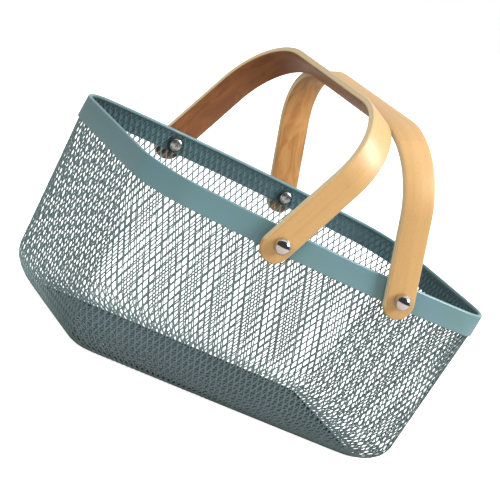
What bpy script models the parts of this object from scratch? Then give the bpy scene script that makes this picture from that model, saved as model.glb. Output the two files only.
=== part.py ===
"""Metal storage basket with two folding bentwood handles.

A tapered tub of expanded steel mesh stands on the turned-in foot of its wall, with a flat mesh
floor panel on that foot. A painted steel band with a rolled bead closes the rim. Each handle is a
bentwood U that turns on two screws, each with a domed sleeve nut outside and a washer inside.

Metres, +Z up. The origin is the middle of the footprint on the surface that the basket stands on,
+X runs along the long side and -Y is the front.
"""

import functools
import math

import bmesh
import bpy

# Rim, seen from above, to the outer face of the band
RIM_LENGTH = 0.360
RIM_WIDTH = 0.2506
RIM_HEIGHT = 0.170
RIM_SIDE_BOW = 0.0235
RIM_END_BOW = 0.001
RIM_CORNER_RADIUS = 0.0465

# Foot, where the tapered walls would meet the ground if nothing rounded them off
FOOT_LENGTH = 0.3318
FOOT_WIDTH = 0.1788
FOOT_SIDE_BOW = 0.001
FOOT_END_BOW = 0.0005
FOOT_CORNER_RADIUS = 0.012
BOTTOM_RADIUS = 0.0283
SEAM_CORNER_RADIUS = 0.010
FOOT_FLANGE_WIDTH = 0.006

# Expanded mesh, drawn with wide diamonds: columns round the wall, half rows up it
MESH_THICKNESS = 0.0010
STRAND_WIDTH = 0.0032
WALL_COLUMNS = 44
WALL_HALF_ROWS = 8
WALL_TOP_EDGE = 0.003
STRAND_BEND_STEPS = 2
WELD_STEPS = 1000000

# Floor panel: half columns and half rows of diamonds from its middle to its plain edge
FLOOR_COLUMNS = 6
FLOOR_ROWS = 5
FLOOR_EDGE_WIDTH = 0.005
FLOOR_SEAT_BEND = math.radians(10)
FLOOR_SEAT_GAP = 0.0008

# Rim band, a steel strip whose top edge is rolled inwards over the mesh
BAND_HEIGHT = 0.0205
BAND_THICKNESS = 0.0010
BEAD_RADIUS = 0.0017
BEAD_STEPS = 7
BAND_STEPS_PER_COLUMN = 2

# Bentwood handles
HANDLE_STRIP_WIDTH = 0.0276
HANDLE_STRIP_THICKNESS = 0.0060
HANDLE_RISE = 0.1353
HANDLE_BEND_RADIUS = 0.0639
HANDLE_BEND_STEPS = 8
HANDLE_END_STEPS = 5
HANDLE_END_DROP = 0.0037
HANDLE_EDGE_CHAMFER = 0.0008
HANDLE_BAND_CLEARANCE = 0.0005
HANDLE_MEETING_GAP = 0.0006

# Pivots, two on each long side
PIVOT_SPACING = 0.1261
PIVOT_BELOW_RIM = 0.0123
SCREW_RADIUS = 0.0025
SCREW_HEAD_RADIUS = 0.0058
SCREW_HEAD_HEIGHT = 0.0027
SCREW_HEAD_CROWN = 0.0012
WASHER_RADIUS = 0.0075
WASHER_THICKNESS = 0.0008
SPACER_RADIUS = 0.0078
SLEEVE_RADIUS = 0.0040
DOME_RADIUS = 0.0069
DOME_EDGE = 0.0034
DOME_HEIGHT = 0.0088
DOME_STEPS = 5
SLEEVE_BORE_STOP = 0.0010
ROUND_SEGMENTS = 16

# Clearances
CONTACT_GAP = 0.0003
MESH_BAND_GAP = 0.0005
SCREW_CLEARANCE = 0.0003
TURNING_CLEARANCE = 0.0004
MESH_HOLE_CLEARANCE = 0.0006
CUT_OVERRUN = 0.0050
MERGE_DISTANCE = 0.00001

# sRGB colours read from the photograph, with roughness and metallic values
PAINT_TEAL = ("#71929A", 0.45, 0.1)
PAINT_TEAL_DARK = ("#566F72", 0.55, 0.1)
WOOD_HONEY = ("#D2A873", 0.42, 0.0)
CHROME = ("#D9DADC", 0.08, 1.0)
ZINC = ("#A9ACAE", 0.28, 1.0)
BLACK_OXIDE = ("#2B2D2E", 0.5, 0.6)

MESH_TOP_HEIGHT = RIM_HEIGHT - 2 * BEAD_RADIUS - CONTACT_GAP
BAND_BOTTOM_HEIGHT = RIM_HEIGHT - BAND_HEIGHT
BAND_STEPS = WALL_COLUMNS * BAND_STEPS_PER_COLUMN
PIVOT_X = PIVOT_SPACING / 2
PIVOT_HEIGHT = RIM_HEIGHT - PIVOT_BELOW_RIM
HANDLE_END_RADIUS = HANDLE_STRIP_WIDTH / 2


# Outlines of the tub, seen from above


@functools.lru_cache(maxsize=None)
def quarter_arcs(half_length, half_width, side_bow, end_bow, corner_radius):
    """Three tangent arcs from the middle of the +X end to the middle of the +Y side.

    Each is its centre, its radius and the angles where it starts and stops."""
    side_radius = (half_length**2 + side_bow**2) / (2 * side_bow)
    end_radius = (half_width**2 + end_bow**2) / (2 * end_bow)
    side_centre = (0.0, half_width - side_radius)
    end_centre = (half_length - end_radius, 0.0)
    # The corner's centre lies one corner radius inside both of the long arcs.
    across = (end_centre[0] - side_centre[0], end_centre[1] - side_centre[1])
    apart = math.hypot(*across)
    from_side = side_radius - corner_radius
    from_end = end_radius - corner_radius
    along = (from_side**2 - from_end**2 + apart**2) / (2 * apart)
    off = math.sqrt(from_side**2 - along**2)
    unit = (across[0] / apart, across[1] / apart)
    corner = (
        side_centre[0] + unit[0] * along + unit[1] * off,
        side_centre[1] + unit[1] * along - unit[0] * off,
    )
    corner_start = math.atan2(corner[1] - end_centre[1], corner[0] - end_centre[0])
    corner_stop = math.atan2(corner[1] - side_centre[1], corner[0] - side_centre[0])
    return (
        (end_centre, end_radius, 0.0, corner_start),
        (corner, corner_radius, corner_start, corner_stop),
        (side_centre, side_radius, corner_stop, math.pi / 2),
    )


def outline_point(outline, turn):
    """Point and outward direction at a share of the way round from the middle of the +X end."""
    arcs = quarter_arcs(*outline)
    quarter, share = divmod((turn % 1.0) * 4, 1)
    mirror_x = -1 if quarter in (1, 2) else 1
    mirror_y = -1 if quarter in (2, 3) else 1
    if quarter in (1, 3):
        share = 1 - share
    left = share * sum(radius * (stop - start) for _, radius, start, stop in arcs)
    for centre, radius, start, stop in arcs:
        if left <= radius * (stop - start) or stop == math.pi / 2:
            break
        left -= radius * (stop - start)
    angle = start + left / radius
    out = (mirror_x * math.cos(angle), mirror_y * math.sin(angle))
    return mirror_x * centre[0] + radius * out[0], mirror_y * centre[1] + radius * out[1], out


RIM_OUTLINE = (RIM_LENGTH / 2, RIM_WIDTH / 2, RIM_SIDE_BOW, RIM_END_BOW, RIM_CORNER_RADIUS)
FOOT_OUTLINE = (FOOT_LENGTH / 2, FOOT_WIDTH / 2, FOOT_SIDE_BOW, FOOT_END_BOW, FOOT_CORNER_RADIUS)


def seam_outline(inset):
    """Outline of the flat foot, so far inside the line where the rounded bottom ends."""
    return (
        FOOT_LENGTH / 2 - BOTTOM_RADIUS - inset,
        FOOT_WIDTH / 2 - BOTTOM_RADIUS - inset,
        FOOT_SIDE_BOW,
        FOOT_END_BOW,
        SEAM_CORNER_RADIUS - inset,
    )


def band_face(x):
    """Distance from the middle plane to the band's outer face at x on a long side."""
    (centre, radius, _, _) = quarter_arcs(*RIM_OUTLINE)[2]
    return centre[1] + math.sqrt(radius**2 - x**2)


# How the handles stand over the rim


def lean_angle():
    """Lean at which the inner top edges of the two handles meet over the middle."""
    reach = math.hypot(HANDLE_STRIP_WIDTH / 2, HANDLE_RISE)
    edge = math.atan2(HANDLE_STRIP_WIDTH / 2, HANDLE_RISE)
    return math.asin((PIVOT_X - HANDLE_MEETING_GAP / 2) / reach) - edge


def leg_nearest_middle():
    """Distance along X from the middle to where a leaning leg's edge crosses the rim's top."""
    lean = lean_angle()
    half_strip = HANDLE_STRIP_WIDTH / 2 / math.cos(lean)
    return PIVOT_X - half_strip - PIVOT_BELOW_RIM * math.tan(lean)


# The band's sides bow out, so it comes nearest to a leg at the leg's edge next to the middle.
HANDLE_INNER_HALF_WIDTH = band_face(leg_nearest_middle()) + HANDLE_BAND_CLEARANCE
HANDLE_OUTER_HALF_WIDTH = HANDLE_INNER_HALF_WIDTH + HANDLE_STRIP_THICKNESS


# The wall, as a loft from the foot's flat edge through the rounded bottom to the rim


FILLET_RUN = BOTTOM_RADIUS * math.pi / 2
WALL_RUN = FOOT_FLANGE_WIDTH + FILLET_RUN + MESH_TOP_HEIGHT - BOTTOM_RADIUS


def wall_point(turn, run, depth):
    """Point on the wall: a share of the way round, a distance up from the foot's edge, and a
    depth in from the outer face."""
    rim_x, rim_y, rim_out = outline_point(RIM_OUTLINE, turn)
    inset = BAND_THICKNESS + MESH_BAND_GAP
    top = (rim_x - rim_out[0] * inset, rim_y - rim_out[1] * inset)
    foot_x, foot_y, foot_out = outline_point(FOOT_OUTLINE, turn)
    if run < FOOT_FLANGE_WIDTH:
        height, bend = 0.0, 0.0
    elif run < FOOT_FLANGE_WIDTH + FILLET_RUN:
        bend = (run - FOOT_FLANGE_WIDTH) / BOTTOM_RADIUS
        height = BOTTOM_RADIUS * (1 - math.cos(bend))
    else:
        bend = math.pi / 2
        height = BOTTOM_RADIUS + run - FOOT_FLANGE_WIDTH - FILLET_RUN
    rise = min(height / BAND_BOTTOM_HEIGHT, 1.0)
    drawn_in = 1 - math.sin(bend)
    flange_inset = max(FOOT_FLANGE_WIDTH - run, 0.0)
    seam_x, seam_y, _ = outline_point(seam_outline(flange_inset), turn)
    x = foot_x + (top[0] - foot_x) * rise + (seam_x - foot_x) * drawn_in
    y = foot_y + (top[1] - foot_y) * rise + (seam_y - foot_y) * drawn_in
    out = (
        foot_out[0] + (rim_out[0] - foot_out[0]) * rise,
        foot_out[1] + (rim_out[1] - foot_out[1]) * rise,
    )
    inwards = depth * math.sin(bend) / math.hypot(*out)
    return x - out[0] * inwards, y - out[1] * inwards, height + depth * math.cos(bend)


# Shared modelling steps


def srgb_to_linear(value):
    return value / 12.92 if value <= 0.04045 else ((value + 0.055) / 1.055) ** 2.4


@functools.lru_cache(maxsize=None)
def make_material(name, finish):
    code, roughness, metallic = finish
    channels = [srgb_to_linear(int(code[i : i + 2], 16) / 255) for i in (1, 3, 5)]
    material = bpy.data.materials.new(name)
    material.use_nodes = True
    shader = material.node_tree.nodes["Principled BSDF"]
    shader.inputs["Base Color"].default_value = (*channels, 1.0)
    shader.inputs["Roughness"].default_value = roughness
    shader.inputs["Metallic"].default_value = metallic
    material.diffuse_color = (*channels, 1.0)
    return material


def finish_object(bm, name, material=None, smooth_angle=math.radians(35)):
    """Turn a bmesh into a named object with consistent normals and smooth round faces."""
    bmesh.ops.recalc_face_normals(bm, faces=bm.faces)
    mesh = bpy.data.meshes.new(name)
    bm.to_mesh(mesh)
    bm.free()
    obj = bpy.data.objects.new(name, mesh)
    bpy.context.scene.collection.objects.link(obj)
    if material:
        mesh.materials.append(material)
    mesh.shade_smooth()
    mesh.set_sharp_from_angle(angle=smooth_angle)
    return obj


def as_guide(obj):
    """Keep a cutter in the scene as a wire guide."""
    obj.hide_render = True
    obj.display_type = "WIRE"
    return obj


def cut(obj, cutter, operation="DIFFERENCE"):
    modifier = obj.modifiers.new(cutter.name, "BOOLEAN")
    modifier.operation = operation
    modifier.object = cutter
    modifier.solver = "EXACT"


def loft(bm, sections, closed):
    """Join point loops of equal length by faces, and cap the ends unless the loft is closed."""
    rings = [[bm.verts.new(point) for point in section] for section in sections]
    count = len(rings[0])
    pairs = list(zip(rings, rings[1:])) + ([(rings[-1], rings[0])] if closed else [])
    for ring, following in pairs:
        for i in range(count):
            j = (i + 1) % count
            bm.faces.new((ring[i], ring[j], following[j], following[i]))
    if not closed:
        bm.faces.new(rings[0])
        bm.faces.new(rings[-1])


def revolve(name, profile, material, closed):
    """Turn a profile of (radius, height) points about the local Z axis."""
    bm = bmesh.new()
    verts = [bm.verts.new((radius, 0.0, height)) for radius, height in profile]
    edges = [bm.edges.new(pair) for pair in zip(verts, verts[1:])]
    if closed:
        edges.append(bm.edges.new((verts[-1], verts[0])))
    bmesh.ops.spin(
        bm,
        geom=verts + edges,
        cent=(0.0, 0.0, 0.0),
        axis=(0.0, 0.0, 1.0),
        angle=2 * math.pi,
        steps=ROUND_SEGMENTS,
    )
    bmesh.ops.remove_doubles(bm, verts=bm.verts, dist=MERGE_DISTANCE)
    return finish_object(bm, name, material)


def cylinder_along_y(name, radius, start, stop, x, z):
    """Round cutter parallel to Y."""
    bm = bmesh.new()
    angles = [2 * math.pi * i / ROUND_SEGMENTS for i in range(ROUND_SEGMENTS)]
    loft(
        bm,
        [
            [(x + radius * math.cos(a), y, z + radius * math.sin(a)) for a in angles]
            for y in (start, stop)
        ],
        closed=False,
    )
    return as_guide(finish_object(bm, name))


# Expanded mesh


def hub_sizes(column_pitch, row_pitch):
    """Half width and half height of the diamond where two strands cross."""
    slope = math.atan2(row_pitch / 2, column_pitch / 2)
    return STRAND_WIDTH / 2 / math.sin(slope), STRAND_WIDTH / 2 / math.cos(slope)


def wall_sheet(bm):
    """Flat diamond sheet, closed round the wall: x is a share of the way round, y the run up it.

    Inside, a place is a number of columns round the wall, and places that meet share a vertex."""
    bottom, top = FOOT_FLANGE_WIDTH, WALL_RUN - WALL_TOP_EDGE
    band_run = WALL_RUN - (MESH_TOP_HEIGHT - BAND_BOTTOM_HEIGHT)
    half_row = (top - bottom) / WALL_HALF_ROWS
    pitch = 2 * (FOOT_LENGTH + FOOT_WIDTH) / WALL_COLUMNS
    wide, tall = hub_sizes(pitch, 2 * half_row)
    wide = wide / pitch
    points = {}

    def vertex(place, run):
        turn = round(place * WELD_STEPS) % (WALL_COLUMNS * WELD_STEPS)
        key = (turn, round(run / half_row * WELD_STEPS))
        if key not in points:
            points[key] = bm.verts.new((turn / WELD_STEPS / WALL_COLUMNS, run, 0.0))
        return points[key]

    def strip(first, second, steps):
        """Quads between two lines, each given by its two ends."""
        for i in range(steps):
            corners = []
            for (start, end), ends in ((first, (i, i + 1)), (second, (i + 1, i))):
                for share in (step / steps for step in ends):
                    place = start[0] + (end[0] - start[0]) * share
                    corners.append(vertex(place, start[1] + (end[1] - start[1]) * share))
            bm.faces.new(corners)

    def hub(place, row):
        run = bottom + row * half_row
        corners = {"left": (place - wide, run), "right": (place + wide, run)}
        if row > 0:
            corners["low"] = (place, run - tall)
        if row < WALL_HALF_ROWS:
            corners["high"] = (place, run + tall)
        return corners

    for row in range(WALL_HALF_ROWS + 1):
        start = bottom + row * half_row
        in_fillet = start < FOOT_FLANGE_WIDTH + FILLET_RUN - half_row
        bends = in_fillet or start < band_run < start + half_row
        for column in range(WALL_COLUMNS):
            place = column + (row % 2) / 2
            here = hub(place, row)
            sides = [side for side in ("left", "low", "right", "high") if side in here]
            bm.faces.new([vertex(*here[side]) for side in sides])
            if row == WALL_HALF_ROWS:
                continue
            for side, other, step in (("right", "left", 0.5), ("left", "right", -0.5)):
                above = hub(place + step, row + 1)
                edges = ((here["high"], above[other]), (here[side], above["low"]))
                strip(*edges, STRAND_BEND_STEPS if bends else 1)
    # A solid strip runs along each edge of the sheet.
    for inner, outer, row in ((bottom, 0.0, 0), (top, WALL_RUN, WALL_HALF_ROWS)):
        for column in range(WALL_COLUMNS):
            place = column + (row % 2) / 2
            for start, end, steps in (
                (place - wide, place + wide, 1),
                (place + wide, place + 1 - wide, BAND_STEPS_PER_COLUMN),
            ):
                strip(((start, inner), (end, inner)), ((start, outer), (end, outer)), steps)


def build_wall_mesh(material):
    """The diamond sheet thickened, then drawn into the tub's wall."""
    bm = bmesh.new()
    wall_sheet(bm)
    raised = bmesh.ops.extrude_face_region(bm, geom=bm.faces[:], use_keep_orig=True)
    for element in raised["geom"]:
        if isinstance(element, bmesh.types.BMVert):
            element.co.z = MESH_THICKNESS
    for vert in bm.verts:
        vert.co = wall_point(*vert.co)
    wall = finish_object(bm, "wall_mesh", material)
    for name, x, side in pivots():
        hole = cylinder_along_y(
            "mesh_hole_" + name,
            SCREW_RADIUS + MESH_HOLE_CLEARANCE,
            side * (band_face(x) - CUT_OVERRUN),
            side * (band_face(x) + CUT_OVERRUN),
            x,
            PIVOT_HEIGHT,
        )
        cut(wall, hole)
    return wall


def floor_outline(inset):
    """Points where the floor panel's edge meets the inside of the wall's rounded bottom."""
    points = []
    for i in range(BAND_STEPS):
        run = FOOT_FLANGE_WIDTH + BOTTOM_RADIUS * FLOOR_SEAT_BEND
        x, y, _ = wall_point(i / BAND_STEPS, run, MESH_THICKNESS)
        _, _, out = outline_point(seam_outline(0.0), i / BAND_STEPS)
        points.append((x - out[0] * inset, y - out[1] * inset))
    return points


def build_floor_mesh(material):
    """Flat panel of the same mesh, its plain edge seated in the wall's rounded bottom."""
    run = FOOT_FLANGE_WIDTH + BOTTOM_RADIUS * FLOOR_SEAT_BEND
    # The wall's strands run straight across the rounded bottom, so the panel stands clear of them.
    low = wall_point(0.0, run, MESH_THICKNESS)[2] + FLOOR_SEAT_GAP
    high = low + MESH_THICKNESS
    bm = bmesh.new()
    loft(bm, [[(*p, z) for p in floor_outline(0.0)] for z in (low, high)], closed=False)
    floor = finish_object(bm, "floor_mesh", material)
    bm = bmesh.new()
    levels = (low - CUT_OVERRUN, high + CUT_OVERRUN)
    inner = floor_outline(FLOOR_EDGE_WIDTH)
    loft(bm, [[(*p, z) for p in inner] for z in levels], closed=False)
    window = as_guide(finish_object(bm, "floor_window"))
    # The openings fill the window with whole columns and rows of diamonds.
    half_length, half_width = max(p[0] for p in inner), max(p[1] for p in inner)
    column, row = half_length / FLOOR_COLUMNS, half_width / FLOOR_ROWS
    wide, tall = hub_sizes(2 * column, 2 * row)
    bm = bmesh.new()
    for i in range(-FLOOR_COLUMNS, FLOOR_COLUMNS + 1):
        for j in range(-FLOOR_ROWS, FLOOR_ROWS + 1):
            if (i + j) % 2 == 0:
                continue
            x, y = i * column, j * row
            across, along = column - wide, row - tall
            diamond = [(x + across, y), (x, y + along), (x - across, y), (x, y - along)]
            levels = (low - CUT_OVERRUN / 2, high + CUT_OVERRUN / 2)
            loft(bm, [[(*point, z) for point in diamond] for z in levels], closed=False)
    diamonds = as_guide(finish_object(bm, "floor_diamonds"))
    cut(diamonds, window, "INTERSECT")
    cut(floor, diamonds)
    return floor


# Rim band


def band_profile():
    """Section of the band: (distance out from the rim's outline, height)."""
    centre = (-BEAD_RADIUS, RIM_HEIGHT - BEAD_RADIUS)
    meets_strip = 2 * math.pi - math.acos((BEAD_RADIUS - BAND_THICKNESS) / BEAD_RADIUS)
    bead = []
    for i in range(BEAD_STEPS + 1):
        angle = meets_strip * i / BEAD_STEPS
        reach = (math.cos(angle), math.sin(angle))
        bead.append((centre[0] + BEAD_RADIUS * reach[0], centre[1] + BEAD_RADIUS * reach[1]))
    return [(0.0, BAND_BOTTOM_HEIGHT)] + bead + [(-BAND_THICKNESS, BAND_BOTTOM_HEIGHT)]


def build_rim_band(material):
    """The band's section swept round the rim, with a clearance hole at each pivot."""
    bm = bmesh.new()
    sections = []
    for i in range(BAND_STEPS):
        x, y, out = outline_point(RIM_OUTLINE, i / BAND_STEPS)
        sections.append([(x + out[0] * n, y + out[1] * n, z) for n, z in band_profile()])
    loft(bm, sections, closed=True)
    band = finish_object(bm, "rim_band", material)
    for name, x, side in pivots():
        hole = cylinder_along_y(
            "band_hole_" + name,
            SCREW_RADIUS + MESH_HOLE_CLEARANCE,
            side * (band_face(x) - CUT_OVERRUN),
            side * (band_face(x) + CUT_OVERRUN),
            x,
            PIVOT_HEIGHT,
        )
        cut(band, hole)
    return band


# Handles


def handle_stations():
    """Stations along half a handle, from the end of a leg to the start of the top bar.

    Each is the outer face's (y, z), the outward direction and half the strip's width there."""
    side = HANDLE_OUTER_HALF_WIDTH
    stations = []
    for i in range(1, HANDLE_END_STEPS + 1):
        angle = math.pi / 2 * i / HANDLE_END_STEPS
        height = -HANDLE_END_DROP - HANDLE_END_RADIUS * math.cos(angle)
        stations.append(((side, height), (1.0, 0.0), HANDLE_END_RADIUS * math.sin(angle)))
    centre = (side - HANDLE_BEND_RADIUS, HANDLE_RISE - HANDLE_BEND_RADIUS)
    for i in range(HANDLE_BEND_STEPS + 1):
        angle = math.pi / 2 * i / HANDLE_BEND_STEPS
        out = (math.cos(angle), math.sin(angle))
        point = (
            centre[0] + HANDLE_BEND_RADIUS * out[0],
            centre[1] + HANDLE_BEND_RADIUS * out[1],
        )
        stations.append((point, out, HANDLE_STRIP_WIDTH / 2))
    return stations


def build_handle(name, side, material):
    """One strip bent to a U, with round ends, eased edges and a turning hole in each leg."""
    half = handle_stations()
    mirrored = [((-p[0], p[1]), (-out[0], out[1]), w) for p, out, w in reversed(half)]
    chamfer, depth = HANDLE_EDGE_CHAMFER, HANDLE_STRIP_THICKNESS
    sections = []
    for point, out, width in half + mirrored:
        section = [
            (-width, chamfer),
            (chamfer - width, 0.0),
            (width - chamfer, 0.0),
            (width, chamfer),
            (width, depth - chamfer),
            (width - chamfer, depth),
            (chamfer - width, depth),
            (-width, depth - chamfer),
        ]
        sections.append([(x, point[0] - out[0] * d, point[1] - out[1] * d) for x, d in section])
    bm = bmesh.new()
    loft(bm, sections, closed=False)
    handle = finish_object(bm, name, material)
    reach = HANDLE_OUTER_HALF_WIDTH + CUT_OVERRUN
    hole = cylinder_along_y(
        name + "_hole", SLEEVE_RADIUS + TURNING_CLEARANCE, -reach, reach, 0.0, 0.0
    )
    hole.parent = handle
    cut(handle, hole)
    # The pivot axis runs through the handle's own origin.
    handle.location = (side * PIVOT_X, 0.0, PIVOT_HEIGHT)
    handle.rotation_euler = (0.0, -side * lean_angle(), 0.0)
    return handle


# Pivot hardware, stacked along each pivot from the inside of the tub outwards


def pivots():
    """Name, x and side of the four pivots: side is -1 at the front and 1 at the back."""
    for side, depth_name in ((-1, "front"), (1, "back")):
        for end, end_name in ((-1, "left"), (1, "right")):
            yield f"{depth_name}_{end_name}", end * PIVOT_X, side


def mesh_inner_face():
    """Distance from the middle plane to the mesh's inner face, over a washer's width."""
    face = band_face(PIVOT_X + WASHER_RADIUS) - BAND_THICKNESS
    return face - MESH_BAND_GAP - MESH_THICKNESS


def stand_on_pivot(obj, x, side, distance):
    """Turn a piece's local Z outwards along a pivot and set it at a distance from the middle."""
    obj.location = (x, side * distance, PIVOT_HEIGHT)
    obj.rotation_euler = (-side * math.pi / 2, 0.0, 0.0)


def ring_profile(bore, radius, thickness):
    return [(bore, 0.0), (bore, thickness), (radius, thickness), (radius, 0.0)]


def build_washer(name, x, side, material):
    """Dark washer between the mesh and the screw's head."""
    bore = SCREW_RADIUS + SCREW_CLEARANCE
    profile = ring_profile(bore, WASHER_RADIUS, WASHER_THICKNESS)
    washer = revolve("inner_washer_" + name, profile, material, closed=True)
    stand_on_pivot(washer, x, side, mesh_inner_face() - CONTACT_GAP - WASHER_THICKNESS)


def build_spacer(name, x, side, material):
    """Spacer ring that keeps the handle clear of the bowed band."""
    seat = band_face(PIVOT_X - SPACER_RADIUS) + CONTACT_GAP
    thickness = HANDLE_INNER_HALF_WIDTH - CONTACT_GAP - seat
    profile = ring_profile(SLEEVE_RADIUS + SCREW_CLEARANCE, SPACER_RADIUS, thickness)
    spacer = revolve("spacer_" + name, profile, material, closed=True)
    stand_on_pivot(spacer, x, side, seat)


def sleeve_length():
    """From under the dome to just short of the band."""
    inner_end = band_face(PIVOT_X - SLEEVE_RADIUS) + CONTACT_GAP
    return HANDLE_OUTER_HALF_WIDTH + CONTACT_GAP - inner_end


def build_sleeve_nut(name, x, side, material):
    """Domed sleeve nut: the handle turns on its sleeve, and the screw threads into it."""
    bore = SCREW_RADIUS + SCREW_CLEARANCE
    dome = []
    for i in range(DOME_STEPS + 1):
        angle = math.pi / 2 * i / DOME_STEPS
        rise = DOME_EDGE + (DOME_HEIGHT - DOME_EDGE) * math.sin(angle)
        dome.append((DOME_RADIUS * math.cos(angle) if i < DOME_STEPS else 0.0, rise))
    profile = dome[::-1] + [
        (DOME_RADIUS, 0.0),
        (SLEEVE_RADIUS, 0.0),
        (SLEEVE_RADIUS, -sleeve_length()),
        (bore, -sleeve_length()),
        (bore, -SLEEVE_BORE_STOP),
        (0.0, -SLEEVE_BORE_STOP),
    ]
    nut = revolve("sleeve_nut_" + name, profile, material, closed=False)
    stand_on_pivot(nut, x, side, HANDLE_OUTER_HALF_WIDTH + CONTACT_GAP)


def build_screw(name, x, side, material):
    """Pan head screw, its head inside the tub and its shank in the sleeve nut."""
    seat = mesh_inner_face() - 2 * CONTACT_GAP - WASHER_THICKNESS
    tip = HANDLE_OUTER_HALF_WIDTH + CONTACT_GAP - SLEEVE_BORE_STOP - CONTACT_GAP
    crown = SCREW_HEAD_HEIGHT - SCREW_HEAD_CROWN
    profile = [
        (0.0, -SCREW_HEAD_HEIGHT),
        (SCREW_HEAD_RADIUS / 2, SCREW_HEAD_CROWN / 5 - SCREW_HEAD_HEIGHT),
        (SCREW_HEAD_RADIUS - SCREW_HEAD_CROWN / 3, -crown),
        (SCREW_HEAD_RADIUS, -crown / 2),
        (SCREW_HEAD_RADIUS, 0.0),
        (SCREW_RADIUS, 0.0),
        (SCREW_RADIUS, tip - seat),
        (0.0, tip - seat),
    ]
    screw = revolve("screw_" + name, profile, material, closed=False)
    stand_on_pivot(screw, x, side, seat)


def main():
    for obj in list(bpy.data.objects):
        bpy.data.objects.remove(obj, do_unlink=True)
    build_wall_mesh(make_material("powder_coated_mesh", PAINT_TEAL_DARK))
    build_floor_mesh(make_material("powder_coated_floor", PAINT_TEAL_DARK))
    build_rim_band(make_material("powder_coated_band", PAINT_TEAL))
    wood = make_material("lacquered_bentwood", WOOD_HONEY)
    build_handle("left_handle", -1, wood)
    build_handle("right_handle", 1, wood)
    for name, x, side in pivots():
        build_sleeve_nut(name, x, side, make_material("polished_chrome", CHROME))
        build_spacer(name, x, side, make_material("spacer_zinc", ZINC))
        build_washer(name, x, side, make_material("washer_black_oxide", BLACK_OXIDE))
        build_screw(name, x, side, make_material("screw_zinc", ZINC))


main()
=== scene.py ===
"""Looks of a metal storage basket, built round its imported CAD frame.

The tub of expanded steel mesh, the rolled rim band, the bentwood handles and the pivot hardware
are modelled here at full detail, each in place of the plain solid with the same job. Every finish
is procedural. Sizes are in metres in the CAD's own frame: +X runs along the long side, -Y is the
front and Z is 0 on the surface that the basket stands on.
"""

import contextlib
import functools
import logging
import math
from dataclasses import dataclass
from enum import Enum
from typing import Any, Callable, Iterator, Sequence

import bmesh
import bpy
from mathutils import Matrix, Vector


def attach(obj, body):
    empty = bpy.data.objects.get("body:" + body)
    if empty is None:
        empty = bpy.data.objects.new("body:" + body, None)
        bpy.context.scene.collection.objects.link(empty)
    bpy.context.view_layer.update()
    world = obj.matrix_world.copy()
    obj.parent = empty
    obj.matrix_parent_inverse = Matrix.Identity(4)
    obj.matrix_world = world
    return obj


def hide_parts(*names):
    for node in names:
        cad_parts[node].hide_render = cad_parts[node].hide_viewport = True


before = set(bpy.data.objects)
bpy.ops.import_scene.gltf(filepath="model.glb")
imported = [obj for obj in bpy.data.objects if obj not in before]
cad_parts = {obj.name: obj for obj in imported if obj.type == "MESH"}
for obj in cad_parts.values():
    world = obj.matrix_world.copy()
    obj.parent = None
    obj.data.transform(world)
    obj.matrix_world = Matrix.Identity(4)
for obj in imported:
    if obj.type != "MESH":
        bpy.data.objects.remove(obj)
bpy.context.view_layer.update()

MM = 0.001
FULL_TURN = 2 * math.pi
log = logging.getLogger("basket")


# Shape of the tub


@dataclass(frozen=True)
class Arc:
    """One arc of an outline, from angle start to angle stop."""

    centre: tuple[float, float]
    radius: float
    start: float
    stop: float

    @property
    def length(self) -> float:
        """Length along the arc."""
        return self.radius * (self.stop - self.start)


@dataclass(frozen=True)
class Outline:
    """Rectangle with bowed sides and round corners, seen from above."""

    half_length: float
    half_width: float
    side_bow: float
    end_bow: float
    corner_radius: float

    @functools.cached_property
    def quarter(self) -> tuple[Arc, Arc, Arc]:
        """Tangent arcs from the middle of the +X end to the middle of the +Y side."""
        side_radius = (self.half_length**2 + self.side_bow**2) / (2 * self.side_bow)
        end_radius = (self.half_width**2 + self.end_bow**2) / (2 * self.end_bow)
        side = Vector((0.0, self.half_width - side_radius))
        end = Vector((self.half_length - end_radius, 0.0))
        across = end - side
        unit = across.normalized()
        from_side = side_radius - self.corner_radius
        from_end = end_radius - self.corner_radius
        along = (from_side**2 - from_end**2 + across.length_squared) / (2 * across.length)
        off = math.sqrt(from_side**2 - along**2)
        corner = side + unit * along + Vector((unit.y, -unit.x)) * off
        start = math.atan2(corner.y - end.y, corner.x - end.x)
        stop = math.atan2(corner.y - side.y, corner.x - side.x)
        return (
            Arc(tuple(end), end_radius, 0.0, start),
            Arc(tuple(corner), self.corner_radius, start, stop),
            Arc(tuple(side), side_radius, stop, math.pi / 2),
        )

    def point(self, turn: float) -> tuple[Vector, Vector]:
        """Find a place on the outline.

        Args:
            turn: Share of the way round from the middle of the +X end.

        Returns:
            The point and the outward direction there.
        """
        part, share = divmod((turn % 1.0) * 4, 1)
        mirror = Vector((-1 if part in (1, 2) else 1, -1 if part in (2, 3) else 1))
        if part in (1, 3):
            share = 1 - share
        left = share * sum(arc.length for arc in self.quarter)
        for arc in self.quarter:
            if left <= arc.length or arc is self.quarter[-1]:
                break
            left -= arc.length
        angle = arc.start + left / arc.radius
        out = Vector((math.cos(angle), math.sin(angle)))
        return (Vector(arc.centre) + out * arc.radius) * mirror, out * mirror

    def inset(self, distance: float, radius: float) -> "Outline":
        """Shrink the outline.

        Args:
            distance: How far each side moves in.
            radius: The new corner radius.

        Returns:
            The smaller outline.
        """
        return Outline(
            self.half_length - distance,
            self.half_width - distance,
            self.side_bow,
            self.end_bow,
            radius,
        )


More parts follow.
